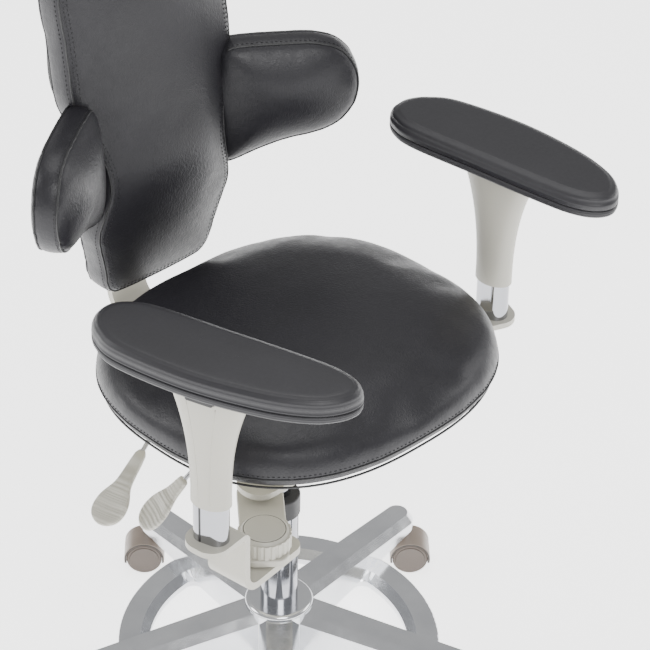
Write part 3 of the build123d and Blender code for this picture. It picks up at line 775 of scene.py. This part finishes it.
class StoolArms(bpy.types.Operator):
    """Adds the creases, the painted shade in the post and knob grooves, and the knob caps of the arm supports"""

    bl_idname = "stool.arms"
    bl_label = "Arm supports"

    def execute(self, context):
        for name in SIDES:
            side, elbow, post, heading = arm_places(name)
            along = toward(Vector(), heading, 1.0)
            out = Vector((-along.y, along.x, 0)) * side
            tree = skin_of(NODES[f"arm_housing_{name}"])
            for number, (top, foot) in enumerate(((-0.019, -0.0075), (0.019, 0.0075))):
                line = []
                for k in range(25):
                    t = k / 24
                    z = 0.716 - 0.146 * t
                    reach = top + (foot - top) * (1 - (1 - t) ** 2)
                    start = post + along * reach + Vector((0, 0, z)) + out * 0.08
                    hit = tree.ray_cast(start, -out)[0]
                    line.append(hit - out * 0.0001)
                crease = f"housing_crease_{name}_{number + 1}"
                tube(line, 0.0005, crease, f"arm_top_{name}", "ivory_plastic", closed=False)
            # Painted shade: a thin black strip down the post, standing in for the shade in its groove.
            bm = bmesh.new()
            strip = Matrix((along, out, Vector((0, 0, 1)))).transposed().to_4x4()
            spot = post + Vector((0, 0, 0.574)) - along * 0.0075 + out * 0.01485
            lengths = Matrix.Diagonal((0.0026, 0.0008, 0.130, 1))
            bmesh.ops.create_cube(bm, size=1, matrix=Matrix.Translation(spot) @ strip @ lengths)
            keep(bm, f"post_groove_shade_{name}", f"arm_outer_{name}", "black_plastic", sharp=0.5)

            bm = bmesh.new()
            top = elbow + Vector((0, 0, 0.4569))
            made = bmesh.ops.create_cone(
                bm, cap_ends=True, segments=64, radius1=0.0252, radius2=0.0246, depth=0.0012,
                matrix=Matrix.Translation(top + Vector((0, 0, 0.0006))),
            )  # fmt: skip
            bmesh.ops.bevel(
                bm, geom=[e for e in bm.edges if all(v.co.z > top.z + 0.001 for v in e.verts)], offset=0.0005,
                affect="EDGES", segments=2, profile=0.5, material=-1,
            )  # fmt: skip
            keep(bm, f"knob_cap_{name}", f"arm_knob_{name}", "ivory_plastic", sharp=0.7)
            # Painted shade: a black ring in the joint between the knob cap and the knob, standing in for the shade
            # there.
            angles = [2 * math.pi * k / 64 for k in range(64)]
            ring = [top + Vector((math.cos(a), math.sin(a), 0)) * 0.0258 for a in angles]
            tube(ring, 0.00045, f"knob_groove_shade_{name}", f"arm_knob_{name}", "black_plastic")
        return {"FINISHED"}


# ------------------------------------------------------------------ levers
LEVERS = {
    "height": (Vector((-0.186, 0.040, 0.477)), Vector((-0.270, 0.016, 0.430))),
    "tilt": (Vector((-0.188, -0.045, 0.480)), Vector((-0.235, -0.027, 0.430))),
}
HANDLE = ((0.0, 7.0, 4.0), (0.04, 8.3, 4.6), (0.45, 8.6, 4.8), (1.0, 9.6, 4.8))
SPOON = (
    (-38, 10.6), (-30, 13.2), (-22, 17.6), (-13, 21.6), (-4, 23.3), (4, 23.4), (11, 21.6), (17, 18.0),
    (21.5, 13.4), (24.5, 8.0), (25.8, 2.6),
)  # fmt: skip


class StoolLevers(bpy.types.Operator):
    """Builds the spoon-shaped lever handles"""

    bl_idname = "stool.levers"
    bl_label = "Lever paddles"

    def execute(self, context):
        for name, (bend, tip) in LEVERS.items():
            grip = (tip - bend).normalized()
            side = grip.cross(Vector((0, 0, 1))).normalized()
            face = side.cross(grip).normalized()
            neck = tip - grip * 0.045
            base = bend + grip * 0.012
            rows = [(base.lerp(neck, t), width, thick) for t, width, thick in HANDLE]
            reach = [-38 + 63.8 * (k / 22) for k in range(23)]
            for d in reach:
                rows.append((tip + grip * d * MM, value_at(SPOON, d), 4.7 if d < 20 else 4.7 - 0.45 * (d - 20)))
            rings = []
            for at, width, thick in rows:
                ring = []
                for k in range(48):
                    a = 2 * math.pi * k / 48
                    x, y = math.cos(a), math.sin(a)
                    w = x * width * MM
                    h = math.copysign(abs(y) ** 0.45, y) * thick * MM
                    away = math.hypot((at - tip).dot(grip) / 0.0215, w / 0.0195)
                    if y > 0 and away < 1:
                        h -= 0.0040 * (1 - away * away)
                    ring.append(at + side * w + face * h)
                rings.append(ring)
            bm = grow(bmesh.new(), rings)
            relax(bm, 5, 0.5)
            paddle = keep(bm, f"paddle_{name}", f"{name}_lever", "ivory_plastic")
            soft = paddle.modifiers.new("soft", "SUBSURF")
            soft.levels = soft.render_levels = 1
            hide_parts(f"{name}_lever_paddle")
        return {"FINISHED"}


# ------------------------------------------------------------------ casters
CASTER_YAWS = (-41.9, 138.1, 156.1, 228.1, 300.1)


class StoolCasters(bpy.types.Operator):
    """Adds the wheel caps, cap grooves and the painted shade in the gaps between hoods and wheels of the casters
    """

    bl_idname = "stool.casters"
    bl_label = "Caster details"

    def execute(self, context):
        for number, yaw in enumerate(CASTER_YAWS, 1):
            stem = toward(Vector(), 12.1 + 72 * (number - 1), 0.288)
            centre = toward(stem, yaw, 0.020) + Vector((0, 0, 0.025))
            axle = toward(Vector(), yaw + 90, 1.0)
            trail = toward(Vector(), yaw, 1.0)
            for way in (-1, 1):
                label = f"{number}_{'a' if way < 0 else 'b'}"
                face = centre + axle * way * 0.0215
                turn = (axle * way).to_track_quat("Z", "Y").to_matrix().to_4x4()
                bm = bmesh.new()
                bmesh.ops.create_cone(
                    bm, cap_ends=True, segments=48, radius1=0.0212, radius2=0.0206, depth=0.0012,
                    matrix=Matrix.Translation(face + axle * way * 0.0004) @ turn,
                )  # fmt: skip
                far = [f for f in bm.faces if len(f.verts) > 4 and f.normal.dot(axle * way) > 0.5]
                bmesh.ops.inset_region(bm, faces=far, thickness=0.0032, depth=-0.0004, use_even_offset=True)
                keep(bm, f"wheel_cap_{label}", f"caster_wheel_{number}", "taupe_wheel", sharp=0.5)
                # Painted shade: a black arc laid along the gap where the hood overlaps the wheel.
                arc = []
                for k in range(33):
                    a = math.radians(-12 + 204 * k / 32)
                    round_hood = trail * math.cos(a) + Vector((0, 0, math.sin(a)))
                    arc.append(centre + round_hood * 0.0268 + axle * way * 0.0216)
                body = f"caster_fork_{number}"
                tube(arc, 0.0009, f"hood_gap_shade_{label}", body, "black_plastic", closed=False)
        return {"FINISHED"}


# ------------------------------------------------------------------ frame finishes and stage
class StoolFrame(bpy.types.Operator):
    """Gives every shown frame part its finish"""

    bl_idname = "stool.frame"
    bl_label = "Frame finishes"

    def execute(self, context):
        make_finishes(context.scene.stool_colours)
        for entry in frame["record"]["subparts"]:
            node = NODES[entry["node"]]
            node.data.materials.clear()
            node.data.materials.append(finish_of(entry["material_slot"]))
        return {"FINISHED"}


CAMERA = {"turn": -41.88814, "rise": 34.84751, "range": 3.619106, "across": -0.0422576, "up": 0.1930008}


class StoolStage(bpy.types.Operator):
    """Sets the floor, the soft lights and the camera"""

    bl_idname = "stool.stage"
    bl_label = "Stage"

    def execute(self, context):
        scene = context.scene
        bm = bmesh.new()
        just_under = Matrix.Translation((0, 0, -0.0004))
        bmesh.ops.create_grid(bm, x_segments=1, y_segments=1, size=70, matrix=just_under)
        floor = keep(bm, "studio_floor", None, "floor")

        world = bpy.data.worlds.new("studio")
        scene.world = world
        world.use_nodes = True
        world.node_tree.nodes["Background"].inputs["Color"].default_value = (1, 1, 1, 1)
        world.node_tree.nodes["Background"].inputs["Strength"].default_value = 0.6

        for name, spot, width, height, power in (
            ("key", (-1.6, -2.6, 3.4), 1.8, 1.8, 85),
            ("fill", (3.2, -1.6, 2.4), 2.2, 1.6, 45),
            ("rim", (-2.6, 2.6, 2.6), 1.6, 1.2, 50),
            ("top", (0.4, 0.6, 3.6), 2.0, 2.0, 40),
        ):
            data = bpy.data.lights.new(name, "AREA")
            data.shape = "RECTANGLE"
            data.size, data.size_y, data.energy = width, height, power
            lamp = bpy.data.objects.new(name, data)
            lamp.location = spot
            lamp.rotation_euler = (Vector((0, 0, 0.5)) - Vector(spot)).to_track_quat("-Z", "Y").to_euler()
            scene.collection.objects.link(lamp)

        turn, rise = math.radians(CAMERA["turn"]), math.radians(CAMERA["rise"])
        back = Vector((math.sin(turn) * math.cos(rise), -math.cos(turn) * math.cos(rise), math.sin(rise)))
        right = Vector((math.cos(turn), math.sin(turn), 0))
        up = back.cross(right)
        data = bpy.data.cameras.new("camera")
        data.lens, data.sensor_width = 155.878, 36
        data.shift_x, data.shift_y = (325 - 247.41) / 650, (292.78 - 325) / 650
        data.clip_end = 200
        camera = bpy.data.objects.new("camera", data)
        aim = Vector((0, 0, 0.4))
        camera.location = aim + back * CAMERA["range"] + right * CAMERA["across"] + up * CAMERA["up"]
        camera.rotation_euler = Matrix((right, up, back)).transposed().to_euler()
        scene.collection.objects.link(camera)
        scene.camera = camera
        return {"FINISHED"}


STEPS = (
    StoolFrame, StoolSeat, StoolBackrest, StoolWings, StoolPads, StoolArms, StoolLevers, StoolCasters, StoolStage,
)  # fmt: skip


class StoolPanel(bpy.types.Panel):
    """Lists the stool's sizes, colours and building steps"""

    bl_idname = "STOOL_PT_panel"
    bl_label = "Dentist stool"
    bl_space_type = "VIEW_3D"
    bl_region_type = "UI"
    bl_category = "Stool"

    def draw(self, context):
        for group in (context.scene.stool_sizes, context.scene.stool_colours):
            for key in group.__annotations__:
                self.layout.prop(group, key)
        for step in STEPS:
            self.layout.operator(step.bl_idname)


CLASSES = (StoolSizes, StoolColours, *STEPS, StoolPanel)


def register():
    for item in CLASSES:
        bpy.utils.register_class(item)
    bpy.types.Scene.stool_sizes = bpy.props.PointerProperty(type=StoolSizes)
    bpy.types.Scene.stool_colours = bpy.props.PointerProperty(type=StoolColours)


def unregister():
    del bpy.types.Scene.stool_colours
    del bpy.types.Scene.stool_sizes
    for item in reversed(CLASSES):
        bpy.utils.unregister_class(item)


def main():
    register()
    for step in STEPS:
        group, name = step.bl_idname.split(".")
        getattr(getattr(bpy.ops, group), name)()


if __name__ == "__main__":
    main()
